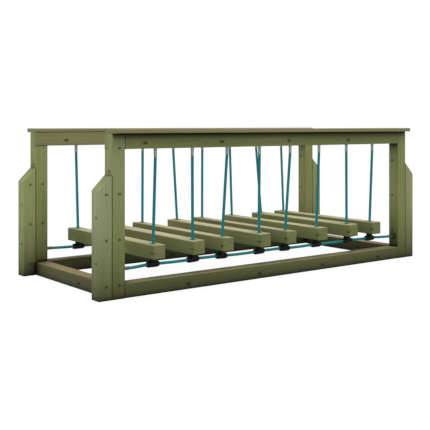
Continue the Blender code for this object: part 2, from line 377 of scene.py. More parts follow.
def section_of(width, height, radius):
    """Inner points and outward directions round a rounded rectangle, four rounds and four flats."""
    corners = np.array([(1, 1), (-1, 1), (-1, -1), (1, -1)]) * (np.array([width, height]) / 2 - radius)
    sweep = np.radians(np.linspace(0, 90, ARC_STEPS + 1))
    inner, outward = [], []
    for quarter, corner in enumerate(corners):
        arc = sweep + quarter * pi / 2
        inner.append(np.repeat(corner[None], len(arc), axis=0))
        outward.append(np.stack([np.cos(arc), np.sin(arc)], axis=1))
        following = corners[(quarter + 1) % 4]
        inner.append(corner + (following - corner) * FLAT_SHARES[:, None])
        outward.append(np.repeat(outward[-1][-1:], len(FLAT_SHARES), axis=0))
    return np.concatenate(inner), np.concatenate(outward)


def timber_rings(length, width, height, radius=ARRIS_RADIUS, end=SAWN_END_RADIUS):
    """Rings of a timber along its own first axis, centred on the origin.

    At a distance s from an end, with s under the end's own radius e, the section is inset by
    e - sqrt(e^2 - (e - s)^2), which rounds the edges of the end too.
    """
    sweep = np.radians(np.linspace(90, 0, ARC_STEPS + 1))
    from_end = np.concatenate([[0.0], end * (1 - np.sin(sweep)), [end + CLOSE_LINE]])
    inset = np.concatenate([[end + CLOSE_LINE], end * (1 - np.cos(sweep)), [0.0]])
    count = max(2, round(length / STATION_SPACING))
    middle = np.linspace(-1, 1, count + 1)[1:-1] * (length / 2 - end)
    station = np.concatenate([from_end - length / 2, middle, (length / 2 - from_end)[::-1]])
    inset = np.concatenate([inset, np.zeros(len(middle)), inset[::-1]])
    inner, outward = section_of(width, height, radius)
    half = np.abs(inner).max(axis=0)
    shrink = 1 - np.maximum(inset - radius, 0)[:, None] / half
    grow = np.maximum(radius - inset, 0)
    across = inner[None] * shrink[:, None] + outward[None] * grow[:, None, None]
    along = np.repeat(station[:, None, None], len(inner), axis=1)
    return np.concatenate([along, across], axis=2)


print("points round a section:", len(section_of(1, 1, ARRIS_RADIUS)[0]))

# %% [markdown]
# ## Coordinates that follow the grain
# Fibres, rings and knots run along each timber, whichever way it lies. World coordinates can't say
# that, so every timber carries its own. One vector holds the distance along, across and up the
# timber. A second one says how much the sun has bleached a point, how brown the wood is and whether
# it is end grain. A number says how dark it is: each tree has its own tone, and a painted shade
# darkens the foot of whatever stands on the ground.

# %% Give a timber its grain and its weathering
KNOT_PITCH = 0.2875
BLEACHED_FROM = 0.73
END_GRAIN_FROM = 0.4
END_GRAIN_FULL = 0.7
GREENER_ENDS = 0.7
# Painted shade: timbers that stand on the ground darken towards their feet, less with height
PAINTED_GROUND_SHADE = 0.40
PAINTED_GROUND_SHADE_HEIGHT = 0.36


def points_of(mesh):
    """Places and outward directions of a mesh's points, as two arrays."""
    places, outward = np.empty((2, len(mesh.vertices) * 3))
    mesh.vertices.foreach_get("co", places)
    mesh.vertex_normals.foreach_get("vector", outward)
    return places.reshape(-1, 3), outward.reshape(-1, 3)


def weather(mesh, axes, centre, knot, growth, brown, tone, grounded=1.0, ends=1.0):
    """Work out the three attributes from where each point is and which way it faces.

    The grain is the place in the timber's own axes, from one of its knots on, times how fine its
    growth is along each. Bleaching grows with the upward part of the direction that a point faces,
    and end grain with the part along the timber; there, brown wood is greener. The tone changes by
    a factor on the ends, and a painted shade near the ground darkens it by PAINTED_GROUND_SHADE
    times e^(-height / PAINTED_GROUND_SHADE_HEIGHT).
    """
    places, outward = points_of(mesh)
    grain = (places - centre) @ axes
    grain[:, 0] -= knot
    grain *= growth
    facing = np.abs(outward @ axes[:, 0])
    bleached = np.clip((outward[:, 2] - BLEACHED_FROM) / (1 - BLEACHED_FROM), 0, 1)
    end_grain = np.clip((facing - END_GRAIN_FROM) / (END_GRAIN_FULL - END_GRAIN_FROM), 0, 1)
    ground_shade = PAINTED_GROUND_SHADE * np.exp(-places[:, 2] / PAINTED_GROUND_SHADE_HEIGHT) * grounded
    brown = min(brown, 0) + max(brown, 0) * (1 - GREENER_ENDS * end_grain)
    set_attribute(mesh, "grain", grain)
    set_attribute(mesh, "weather", np.stack([bleached, brown, end_grain], axis=1))
    # The tone attribute carries each timber's own tone with the painted ground shade in it
    set_attribute(mesh, "tone", tone * (1 - ground_shade) * (1 + (ends - 1) * end_grain))


print("knots repeat every", KNOT_PITCH, "m up a post")

# %% [markdown]
# ## Treated timber
# Pressure treatment leaves softwood a dull olive, with the grain showing through it. The colour is
# built up as a painter would: a broad green, cooler and browner patches that stretch along the grain,
# the bleach of upward faces, knots, thin lines of the growth rings, then painted shade near the
# ground and wherever little sky is seen.
# Rings are circles about the pith of the tree, so their radius from a line along the timber, with a
# little noise, gives both the stripes on the faces and the arcs on the end grain.

# %% Colours and patterns of the timber
GREEN_WOOD = (0.335, 0.388, 0.128)
YELLOW_WOOD = (0.364, 0.392, 0.130)
GREY_WOOD = (0.375, 0.397, 0.240)
BROWN_WOOD = (0.400, 0.350, 0.190)
BLEACHED_WOOD = (0.640, 0.580, 0.360)
BLEACHED_PATCH = (0.500, 0.500, 0.285)
PINK_WOOD = (0.500, 0.365, 0.220)
SAPWOOD = (0.440, 0.470, 0.300)
END_WOOD = (0.200, 0.230, 0.080)
KNOT_WOOD = (0.068, 0.070, 0.014)
KNOT_CORE = 0.0055
PATTERNS = {
    # How often it changes in a metre along the grain and across it; a detail and a roughness, if own
    "wander": (1.6, 9.0),
    "fibres": (14.0, 420.0),
    "patches": (3.2, 17.0, 3.0, 0.55),
    "streaks": (1.3, 60.0),
    "clouds": (2.1, 6.0),
    "blush": (4.0, 14.0),
}
MARKS = {
    # The values at which a mark starts and ends, and its strength at both, if it isn't 0 and 1
    "other faces": (-0.030, -0.020),
    "knot core": (KNOT_CORE, KNOT_CORE * 1.7, 1.0, 0.0),
    "knot halo": (KNOT_CORE, 0.0200, 1.0, 0.0),
    "check": (0.0005, 0.0035, 1.0, 0.0),
    "late wood grows": (0.35, 0.85),
    "late wood stops": (0.92, 1.00, 1.0, 0.0),
    "yellow patches": (0.46, 0.66),
    "brown clouds": (0.50, 0.75, 0.0, 0.35),
    "grey by tone": (0.50, 0.95),
    "sapwood lane": (0.002, 0.022, 1.0, 0.0),
    "sapwood face": (-0.044, -0.030, 1.0, 0.0),
    "sapwood patches": (0.35, 0.60, 0.10, 0.45),
    "bleach by patches": (0.18, 0.50, 0.72, 1.0),
    "bleached clouds": (0.42, 0.62),
    "pink blush": (0.50, 0.68, 0.0, 0.45),
    "dark streaks": (0.30, 0.70, 0.94, 1.05),
    "dark clouds": (0.30, 0.70, 0.93, 1.07),
    "blue by tone": (0.45, 1.00, 0.80, 1.08),
}


def mark(value, name):
    """The strength of a named mark, from the value that decides on it."""
    return between(value, *MARKS[name])


print("timber:", len(PATTERNS), "patterns and", len(MARKS), "marks")

# %% [markdown]
# Knots are what is left of branches, so they come in whorls, at an even pitch up the tree and each in
# a lane of its face. The distance to the nearest one draws its dark core and its halo. The same
# distance, stretched along the grain, draws the small drying checks between them.

# %% Knots, checks and growth rings
FACE_LANES = (
    # Axis that the face looks along, its sign, the knots' lane across it, and their phase along it
    ("Z", -1, 0.006, 0.000),
    ("Y", -1, -0.012, 0.144),
    ("Y", 1, -0.012, 0.090),
)
KNOT_WIDTH = 1.3
CHECK_SHIFT = 0.0585
CHECK_LENGTH = 7.0
RAGGED_SCALE = 90.0
RAGGED_BY = 0.005
PITH_PLACE = (0.018, -0.071)
RING_WIDTH = 0.0052
RING_WANDER = 0.022
RING_ROUND_KNOT = 0.004


def spot_distance(parts, face, shift, wide, long):
    """How far a point is from the nearest spot of one face, large elsewhere.

    The length along the timber is wrapped to half a pitch either way, and combined with the
    distance from the lane as the two sides of a right triangle, each divided by the spot's size.
    """
    axis, sign, lane, phase = face
    sideways = parts["Z" if axis == "Y" else "Y"]
    along = work_out("WRAP", parts["X"] + (phase + shift), KNOT_PITCH / 2, -KNOT_PITCH / 2)
    return long_side(along / long, (sideways - lane) / wide) + mark(parts[axis] * -sign, "other faces")


def nearest_spot(parts, shift, wide, long):
    """The same distance over all the faces that have spots."""
    nearest, *others = [spot_distance(parts, face, shift, wide, long) for face in FACE_LANES]
    for other in others:
        nearest = work_out("MINIMUM", nearest, other)
    return nearest


def knot_marks(grain, parts, end_grain):
    """Strength of the knots' cores, of their halos and of the checks, all with a ragged edge."""
    ragged = (noise(grain, RAGGED_SCALE) - 0.5) * RAGGED_BY
    knot = nearest_spot(parts, 0.0, KNOT_WIDTH, 1.0) + ragged
    check = nearest_spot(parts, CHECK_SHIFT, 1.0, CHECK_LENGTH) + ragged
    core = mark(knot, "knot core") * (1.0 - end_grain)
    return core, mark(knot, "knot halo"), mark(check, "check")


def late_wood(parts, wander, halo):
    """The thin dark part of each growth ring, whose radius is measured from the pith."""
    radius = long_side(parts["Y"] - PITH_PLACE[0], parts["Z"] - PITH_PLACE[1])
    radius = radius + wander * RING_WANDER + halo * RING_ROUND_KNOT
    ring = work_out("FRACT", radius / RING_WIDTH)
    return mark(ring, "late wood grows") * mark(ring, "late wood stops")


print("a growth ring is", 1000 * RING_WIDTH, "mm wide")

# %% [markdown]
# Colour and shade are kept apart. The colour says what the wood is made of at a point. The shade says
# how dark it is there: by its lines, by its tone, which holds some painted shade too, and by painted
# shadows, from ambient occlusion, in places that see little sky.

# %% The timber material
SAPWOOD_LANE = -0.004
BLUSH_BY_BROWN = 2.2
END_WOOD_SHARE = 0.45
HALO_SHARE = 0.22
CHECK_SHARE = 0.40
CORE_SHARE = 0.84
FIBRE_CONTRAST = 0.14
LATE_WOOD_CONTRAST = 0.11
EARLY_WOOD_SHADE = 1.04
# Each painted shadow is ambient occlusion multiplied into the colour: how far it reaches and how dark
# it gets, as a power of the open sky
PAINTED_SHADOWS = ((0.45, 1.2), (0.12, 0.7), (0.040, 1.4), (0.015, 3.0))
SKY_SAMPLES = 8
LATE_WOOD_RELIEF = 0.35
KNOT_RELIEF = 0.8
WOOD_ROUGHNESS = 0.62
FIBRE_ROUGHNESS = 0.22


def wood_colour(parts, pattern, weathering, tone, spots):
    """Green wood under layers of other colours, each mixed in by its own share."""
    bleached, brown, end_grain = weathering
    core, halo, check = spots
    patches, clouds = pattern["patches"], pattern["clouds"]
    band = mark(work_out("ABSOLUTE", parts["Z"] - SAPWOOD_LANE), "sapwood lane")
    band = band * mark(parts["Y"], "sapwood face") * mark(patches, "sapwood patches")
    blush = brown * BLUSH_BY_BROWN + mark(pattern["blush"], "pink blush")
    pale = mix_colours(mark(clouds, "bleached clouds"), BLEACHED_WOOD, BLEACHED_PATCH)
    pale = mix_colours(blush, pale, PINK_WOOD)
    layers = (
        (mark(patches, "yellow patches"), YELLOW_WOOD),
        (mark(clouds, "brown clouds"), BROWN_WOOD),
        (brown, BROWN_WOOD),
        (brown * -1.0 * mark(tone, "grey by tone"), GREY_WOOD),
        (band * tone, SAPWOOD),
        (bleached * mark(patches, "bleach by patches"), pale),
        (end_grain * END_WOOD_SHARE, END_WOOD),
        (halo * HALO_SHARE, KNOT_WOOD),
        (check * CHECK_SHARE, KNOT_WOOD),
        (core * CORE_SHARE, KNOT_WOOD),
    )
    colour = GREEN_WOOD
    for share, layer in layers:
        colour = mix_colours(share, colour, layer)
    return colour


def wood_shade(pattern, late, tone):
    """How dark the wood is, with painted shadows, as a grey that loses a little blue where the tone is low.
    """
    shade = (pattern["fibres"] - 0.5) * FIBRE_CONTRAST - late * LATE_WOOD_CONTRAST
    shade = (shade + EARLY_WOOD_SHADE) * mark(pattern["streaks"], "dark streaks")
    shade = shade * mark(pattern["clouds"], "dark clouds") * tone
    # Painted shadows: ambient occlusion darkens corners, joints, the undersides of the caps and the feet
    for reach, strength in PAINTED_SHADOWS:
        sky = flow(tone.tree, "ShaderNodeAmbientOcclusion", "AO", {"Distance": reach}, samples=SKY_SAMPLES)
        shade = shade * work_out("POWER", sky, strength)
    channels = {0: shade, 1: shade, 2: shade * mark(tone, "blue by tone")}
    return flow(tone.tree, "ShaderNodeCombineColor", 0, channels)


def timber_material():
    """Olive treated softwood with painted shadows, drawn from the grain, weather and tone attributes."""
    material, tree, shader = new_material("treated_timber")
    grain = flow(tree, "ShaderNodeAttribute", "Vector", attribute_name="grain")
    weathering = split(flow(tree, "ShaderNodeAttribute", "Vector", attribute_name="weather"))
    tone = flow(tree, "ShaderNodeAttribute", "Fac", attribute_name="tone")
    parts = dict(zip("XYZ", split(grain)))
    pattern = {
        name: noise(stretched(grain, (along, across, across)), 1.0, *own)
        for name, (along, across, *own) in PATTERNS.items()
    }
    core, halo, check = knot_marks(grain, parts, weathering[2])
    late = late_wood(parts, pattern["wander"], halo)
    colour = wood_colour(parts, pattern, weathering, tone, (core, halo, check))
    colour = mix_colours(1.0, colour, wood_shade(pattern, late, tone), "MULTIPLY")
    relief = late * LATE_WOOD_RELIEF + pattern["fibres"] - core * KNOT_RELIEF
    rough = pattern["fibres"] * FIBRE_ROUGHNESS + WOOD_ROUGHNESS
    bump = {"Height": relief, "Strength": 0.35, "Distance": 0.0008}
    finish_shader(shader, colour, bump, {"Roughness": rough, "Specular IOR Level": 0.15})
    return material


treated_timber = timber_material()
print("timber material:", len(treated_timber.node_tree.nodes), "nodes")

# %% [markdown]
# ## Posts, rails and caps
# Each of these stands or lies square to the bridge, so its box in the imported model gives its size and
# its place. The post's top is halved where the handrail beam laps it, and the buttress is cut to a
# slope. Both are made by moving points of the plain timber: clamped to the lap's plane past the
# shoulder, or slid down along the post by their distance from its inner face.

# %% Shapes of the frame's timbers
SLOPE_FROM = 0.55
SLOPE_FULL = 0.75


def with_shoulders(rings, shoulders):
    """Copy the nearest ring twice to each shoulder, so that a lap starts with a square step."""
    for place in shoulders:
        ring = rings[np.abs(rings[:, 0, 0] - place).argmin()].copy()
        ring[:, 0] = place
        rings = np.insert(rings, np.searchsorted(rings[:, 0, 0], place), [ring, ring], axis=0)
    return rings


def lapped(shoulders, plane, clamp, side):
    """A shape that keeps half of the timber beyond its shoulders.

    From the outer ring of a shoulder on, the distance from the bridge's middle line is clamped to the
    lap's plane: by a minimum for the beam's inner tongue, by a maximum for the post's outer cheek.
    """
    def shape(rings, axes, centre):
        rings = with_shoulders(rings, shoulders)
        order = np.arange(len(rings))
        halved = np.zeros(len(rings), bool)
        for shoulder in shoulders:
            at = np.flatnonzero(np.isclose(rings[:, 0, 0], shoulder))
            halved |= order >= at[-1] if shoulder > 0 else order <= at[0]
        places = rings @ axes.T + centre
        places[halved, :, 1] = clamp(places[halved, :, 1] * side, plane) * side
        return places
    return shape


def sloped(end, drop):
    """A shape that slides the top of a buttress down, by the whole drop at its outer face."""
    def shape(rings, axes, centre):
        places = rings @ axes.T + centre
        outer = (places[..., 0] - centre[0]) * end / np.ptp(places[..., 0]) + 0.5
        share = np.clip((places[..., 2] - SLOPE_FROM) / (SLOPE_FULL - SLOPE_FROM), 0, 1)
        places[..., 2] -= drop * outer * share
        return places
    return shape


print("a buttress slopes above", SLOPE_FROM, "m")

# %% [markdown]
# No two trees are alike, so a table gives each timber its own look. Its place in the row moves the
# pattern by whole pitches, which keeps the knots where they are and changes all the rest.

# %% Frame timbers
AXES = {
    "X": np.array([(1, 0, 0), (0, 1, 0), (0, 0, 1)], float).T,
    "Y": np.array([(0, 1, 0), (-1, 0, 0), (0, 0, 1)], float).T,
    "Z": np.array([(0, 0, 1), (1, 0, 0), (0, 1, 0)], float).T,
}
FINISHES = {
    # How brown each timber is, or how grey below zero, its tone, the place of a knot, and which way
    # its clear face looks: 1 to the back, -1 to the front
    "main_post_front_right": (0.15, 0.85, 0.086, -1),
    "main_post_back_right": (0.15, 0.88, 0.086, -1),
    "main_post_front_left": (-0.38, 0.86, 0.086, 1),
    "main_post": (0.05, 0.86, 0.086, 1),
    "buttress_post_front_right": (0.58, 0.97, 0.086, -1),
    "buttress_post_back_left": (-0.10, 1.08, 0.086, 1),
    "buttress_post_front_left": (-0.50, 1.05, 0.086, 1),
    "buttress_post": (0.10, 1.00, 0.086, -1),
    "side_rail_front": (0.18, 0.95, 0.125, 1),
    # Painted shade: the back rail is set darker, for the shade that the swing beams cast on it
    "side_rail_back": (0.15, 0.62, 0.125, 1),
    "end_rail": (0.45, 0.92, 0.040, 1),
    "cap_board": (0.75, 0.74, -0.310, 1),
    # Painted shade: the top beams are set darker, for the shade under the caps on their long faces
    "top_beam_front": (0.05, 0.71, -0.218, 1),
    "top_beam_back": (0.50, 0.70, -0.218, 1),
}
# The top beams' ends are lifted out of the painted shade that is set on their long faces
END_TONES = {"top": 1.30, "cap": 1.15, "buttress": 0.91}
STRETCH = {"X": 2.18, "Y": 2.18, "Z": 1.00}
PITCHES_APART = 3
CAP_LIFT = 0.050
NODE_GAP = 0.0003
TOP_BEAM_HEIGHT = 0.099
SIDES = {"front": -1, "back": 1}
ENDS = {"left": -1, "right": 1}


def box_of(node):
    """Centre and size of a node's box, as arrays."""
    low, high = (np.array(corner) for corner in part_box(node))
    return (low + high) / 2, high - low


def frame_timber(order, node, along, centre, size, shape=None):
    """One square timber of the frame; shape, if given, moves its points in place.

    The pattern of a cap lies higher than its edges, which keeps them free of knots.
    """
    brown, tone, knot, clear = next(look for key, look in FINISHES.items() if node.startswith(key))
    axes = AXES[along]
    knot -= centre @ axes[:, 0] + PITCHES_APART * order * KNOT_PITCH * STRETCH[along]
    growth = np.array([1 / STRETCH[along], 1, clear])
    lift = np.array([0, 0, CAP_LIFT if node.startswith("cap") else 0])
    rings = timber_rings(*np.abs(size @ axes))
    places = shape(rings, axes, centre) if shape else rings @ axes.T + centre
    mesh = skin(f"timber_{node}", places)
    ends = END_TONES.get(node.split("_")[0], 1.0)
    weather(mesh, axes, centre - lift, knot, growth, brown, tone, ends=ends)
    finish_piece(f"timber_{node}", mesh, treated_timber, "frame", node)


beam_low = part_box("cap_board_front")[0].z - NODE_GAP - TOP_BEAM_HEIGHT
lap_plane = -box_of("main_post_front_left")[0][1]
timbers = []
for end_name, end in ENDS.items():
    for side_name, side in SIDES.items():
        corner = f"{side_name}_{end_name}"
        shoulder = beam_low - NODE_GAP - box_of(f"main_post_{corner}")[0][2]
        lap = lapped([shoulder], lap_plane + NODE_GAP, np.maximum, side)
        timbers.append((f"main_post_{corner}", "Z", lap))
        drop = box_of(f"buttress_post_{corner}")[1][0]
        timbers.append((f"buttress_post_{corner}", "Z", sloped(end, drop)))
    timbers.append((f"end_rail_{end_name}", "Y", None))
for side_name in SIDES:
    timbers += [(f"{kind}_{side_name}", "X", None) for kind in ("side_rail", "cap_board")]
for order, (node, along, shape) in enumerate(timbers):
    frame_timber(order, node, along, *box_of(node), shape)
print("frame timbers:", len(timbers))

# %% [markdown]
# ## Handrail beams
# The beam between the posts is a little higher than it is wide. At each end its outer half is cut
# away, and the inner half runs on over the notched post, so both are held by the same bolts under the
# cap. It is the same clamped timber as the post, with the other half kept.

# %% Top beams
SHOULDER_GAP = 0.0015
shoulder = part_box("side_rail_front")[1].x - SHOULDER_GAP
for side_name, side in SIDES.items():
    node = f"top_beam_{side_name}"
    centre, size = box_of(node)
    size[2] = TOP_BEAM_HEIGHT
    centre[2] = beam_low + TOP_BEAM_HEIGHT / 2
    shape = lapped([-shoulder, shoulder], lap_plane, np.minimum, side)
    frame_timber(len(timbers) + side, node, "X", centre, size, shape)
    print(node, "runs over", round(size[0], 3), "m, with shoulders at", round(shoulder, 3))

# %% [markdown]
# ## Swing beams
# All eight are one beam, hung at its own lean. It is made once, square and at the origin, with a
# countersunk hole for each rope, and copied. The holes lean inwards with the ropes, so their cutter is
# turned, as on a lathe, and tilted before it is cut away. A joint's range is even about plumb, so the
# lean at which a beam rests is minus the middle of its range.

# %% The swing beam's shape
ROPE_INSET_PER_DROP = 0.0485
ROPE_TILT = atan(ROPE_INSET_PER_DROP)
BEAM_SIDE = 0.095
BEAM_LENGTH = 1.180
BEAM_TOP = 0.315
BEAM_ROUND = 0.006
BORE_RADIUS = 0.0108
COUNTERSINK_RADIUS = 0.0160
COUNTERSINK_DEPTH = 0.0055
CUTTER_DEPTH = 0.15
CUTTER_ABOVE = 0.03
BORE_STEPS = 40
ANCHOR_Y = abs(box_of("top_beam_front")[0][1])
PIVOT_HEIGHT = frame["joints"][0]["pos_m"][2]


def step_matrix(joint):
    """From a beam's own frame, whose origin is on its sway line, to its place at rest."""
    lean = -sum(joint["range_deg"]) / 2
    return Matrix.Translation(joint["pos_m"]) @ Matrix.Rotation(-radians(lean), 4, "Y")


def rope_way(side):
    """From a plumb rope's frame, origin at the sleeve's mouth, to the beam's own frame."""
    return Matrix.Translation((0, side * ANCHOR_Y, 0)) @ Matrix.Rotation(-side * ROPE_TILT, 4, "X")


def bore_cutter(side):
    """A turned cutter: a long shank, then a cone that opens above the beam's top face."""
    top = BEAM_TOP - PIVOT_HEIGHT
    slope = (COUNTERSINK_RADIUS - BORE_RADIUS) / COUNTERSINK_DEPTH
    profile = [
        (0, top - CUTTER_DEPTH),
        (BORE_RADIUS, top - CUTTER_DEPTH),
        (BORE_RADIUS, top - COUNTERSINK_DEPTH),
        (COUNTERSINK_RADIUS + slope * CUTTER_ABOVE, top + CUTTER_ABOVE),
        (0, top + CUTTER_ABOVE),
    ]
    mesh = turned("bore", profile, BORE_STEPS)
    mesh.transform(rope_way(side))
    return mesh


steps = [step_matrix(joint) for joint in frame["joints"]]
beam_centre = np.array([0, 0, BEAM_TOP - BEAM_SIDE / 2 - PIVOT_HEIGHT])
beam_rings = timber_rings(BEAM_LENGTH, BEAM_SIDE, BEAM_SIDE, BEAM_ROUND, BEAM_ROUND)
plain_beam = skin("swing_beam", beam_rings @ AXES["Y"].T + beam_centre)
bores = [("DIFFERENCE", bore_cutter(side)) for side in SIDES.values()]
bored_beam = carved("swing_beam", plain_beam, bores)
print("faces of the bored beam:", len(bored_beam.polygons))

# %% [markdown]
# Each copy is then placed with its own matrix, and its grain is read back through that matrix, so the
# rings and knots turn with the beam. A start some pitches further gives each beam other patches.

# %% Hang the eight beams
BEAM_BROWN = 0.10
BEAM_TONE = 0.835
BEAM_KNOT = -0.380
BEAM_GROWTH = np.array([1 / STRETCH["Y"], 1.7, 1.7])


def placed(master, matrix):
    """A copy of a mesh at another place."""
    mesh = master.copy()
    mesh.transform(matrix)
    return mesh


for number, place in enumerate(steps, 1):
    mesh = placed(bored_beam, place)
    axes = np.array(place.to_3x3()) @ AXES["Y"]
    centre = np.array(place @ Vector(beam_centre))
    knot = BEAM_KNOT - PITCHES_APART * number * KNOT_PITCH * STRETCH["Y"]
    weather(mesh, axes, centre, knot, BEAM_GROWTH, BEAM_BROWN, BEAM_TONE, grounded=0.0)
    name = f"swing_beam_{number}"
    finish_piece(f"timber_{name}", mesh, treated_timber, f"step_{number}", name)
print("swing beams:", len(steps))

# %% [markdown]
# ## Twisted rope
# A playground rope has six strands laid round a core. Its skin is the outside of six circles: at an
# angle d from a strand's middle, the distance from the rope's centre is
# c cos d + sqrt(s^2 - c^2 sin^2 d), where c is how far a strand's centre lies out and s is its radius.
# Turning that section as it moves along gives the twist. Grid lines follow the strands, so the
# grooves stay clean with few points.

# %% The rope's skin
ROPE_RADIUS = 0.0103
STRANDS = 6
STRAND_RADIUS = 0.0062
STRAND_CENTRE = ROPE_RADIUS - STRAND_RADIUS
STRAND_POINTS = 6
LAY_LENGTH = 0.110
ROPE_STATION = 0.006
GROOVE_ANGLE = radians(70)


def rope_section():
    """Angles round the rope and the distance of its skin at each."""
    count = STRANDS * STRAND_POINTS
    angle = np.arange(count) * 2 * pi / count
    from_middle = (angle + pi / STRANDS) % (2 * pi / STRANDS) - pi / STRANDS
    under_root = STRAND_RADIUS**2 - (STRAND_CENTRE * np.sin(from_middle)) ** 2
    return angle, STRAND_CENTRE * np.cos(from_middle) + np.sqrt(np.maximum(under_root, 0))


def lengths_along(path):
    """How far along a path each of its points is."""
    return np.concatenate([[0], np.cumsum(np.linalg.norm(np.diff(path, axis=0), axis=1))])


def unit(vectors):
    """Vectors of the same directions, one long."""
    return vectors / np.linalg.norm(vectors, axis=1, keepdims=True)


def rope_mesh(name, path, reference, start, swell=1.0):
    """Twisted rope round a path, with its lay: the untwisted place and the length along.

    At each point the frame is the direction of the path, the reference direction made square to it,
    and their cross product. The section is turned by one whole turn in each LAY_LENGTH.
    """
    length = start + lengths_along(path)
    forward = unit(np.gradient(path, axis=0))
    sideways = unit(np.cross(forward, reference))
    upwards = np.cross(sideways, forward)
    angle, distance = rope_section()
    distance = distance * np.broadcast_to(swell, len(path))[:, None]
    twist = (angle + 2 * pi * length[:, None] / LAY_LENGTH)[..., None]
    out = distance[..., None]
    rings = path[:, None] + sideways[:, None] * out * np.cos(twist) + upwards[:, None] * out * np.sin(twist)
    along = length[:, None] + 0 * angle
    lay = np.stack([distance * np.cos(angle), distance * np.sin(angle), along], axis=-1)
    return skin(name, rings, lay, GROOVE_ANGLE)


print("rope section:", len(rope_section()[0]), "points, lay", LAY_LENGTH, "m")

# %% [markdown]
# ## Rope material
# The strands are spun from thin teal yarns, which lie across each strand at a slant. The angle round
# the untwisted rope and the length along it are both stored, so a sine of their sum draws the yarns,
# and a slow noise varies the dye. Yarns worn on the crowns of the strands are a little paler, and the
# grooves between the strands are painted darker, as painted shade.

# %% The rope's finish
ROPE_TEAL = (0.016, 0.260, 0.280)
ROPE_GROOVE_SHADE = (0.006, 0.170, 0.190)
ROPE_WORN = (0.110, 0.440, 0.450)
YARN_LENGTH = 0.0075
YARN_SLANT = 12.0
DYE_STRETCH = (160.0, 160.0, 24.0)
DYE_WORN = (0.45, 0.75, 0.0, 0.45)
CROWN_FROM = 0.86
CROWN_SHARE = 0.85


def rope_material():
    """Teal yarns drawn from the lay attribute."""
    material, tree, shader = new_material("teal_rope")
    lay = flow(tree, "ShaderNodeAttribute", "Vector", attribute_name="lay")
    across, up, along = split(lay)
    wave = along * (2 * pi / YARN_LENGTH) + work_out("ARCTAN2", up, across) * YARN_SLANT
    yarn = work_out("SINE", wave) * 0.5 + 0.5
    crown = between(long_side(across, up), ROPE_RADIUS * CROWN_FROM, ROPE_RADIUS)
    dye = noise(stretched(lay, DYE_STRETCH), 1.0, detail=3.0)
    worn = crown * yarn * between(dye, *DYE_WORN)
    # Painted shade: the grooves between the strands are darker than the crowns
    colour = mix_colours(crown * CROWN_SHARE, ROPE_GROOVE_SHADE, ROPE_TEAL)
    colour = mix_colours(worn, colour, ROPE_WORN)
    bump = {"Height": yarn, "Strength": 0.5, "Distance": 0.0006}
    finish_shader(shader, colour, bump, {"Roughness": 0.60, "Specular IOR Level": 0.12})
    return material


teal_rope = rope_material()
print("rope material:", len(teal_rope.node_tree.nodes), "nodes")

# %% [markdown]
# ## Hanging ropes
# A hanging rope is held taut by its beam, so it is straight: out of the sleeve, down through the hole
# in the beam and into the connector below it. Its head is rounded where it turns inside the sleeve.

# %% Hang the ropes
BOTTOM_ROPE_HEIGHT = 0.180
CONNECTOR_DROP = PIVOT_HEIGHT - BOTTOM_ROPE_HEIGHT
CONNECTOR_Y = ANCHOR_Y - CONNECTOR_DROP * ROPE_INSET_PER_DROP
FOOT_ABOVE_AXIS = 0.021
ROPE_FOOT = CONNECTOR_DROP - FOOT_ABOVE_AXIS
HEAD_DEGREES = np.linspace(8, 90, 8)
LAY_SHIFT = 0.013


def hanging_path():
    """Points down a plumb rope, closer together over its round head, and the swell there."""
    head = np.radians(HEAD_DEGREES)
    shaft = np.linspace(0, -ROPE_FOOT, round(ROPE_FOOT / ROPE_STATION))[1:]
    heights = np.concatenate([ROPE_RADIUS * np.cos(head), shaft])
    swell = np.concatenate([np.sin(head), np.ones(len(shaft))])
    return np.stack([0 * heights, 0 * heights, heights], axis=1), swell


path, swell = hanging_path()
for number, place in enumerate(steps, 1):
    for side_name, side in SIDES.items():
        name = f"rope_{side_name}_{number}"
        mesh = rope_mesh(name, path, (1, 0, 0), LAY_SHIFT * number * side, swell)
        mesh.transform(place @ rope_way(side))
        finish_piece(name, mesh, teal_rope, f"step_{number}", f"hanging_{name}")
print("hanging ropes:", 2 * len(steps), "each", round(ROPE_FOOT, 3), "m long")

# %% [markdown]
# ## Sleeves
# A pressed metal sleeve holds the end of each rope. It is a turned tube with a washer against the
# timber, two rings where the press has gripped it and a rolled lip at its mouth. The inside is made
# too, because the mouth is seen from below.

# %% The sleeve's shape
SLEEVE_RADIUS = 0.0118
SLEEVE_WAIST = SLEEVE_RADIUS - 0.0003
SLEEVE_LENGTH = 0.055
SLEEVE_BORE = 0.0107
SLEEVE_DEEP = 0.020
SLEEVE_STEPS = 28
BODY_FROM = 0.004
WASHER_HEIGHT = 0.0025
WASHER_CHAMFER = 0.0005
CRIMPS_FROM = 0.012
CRIMPS_LENGTH = 0.030
CRIMP_DEPTH = 0.0009


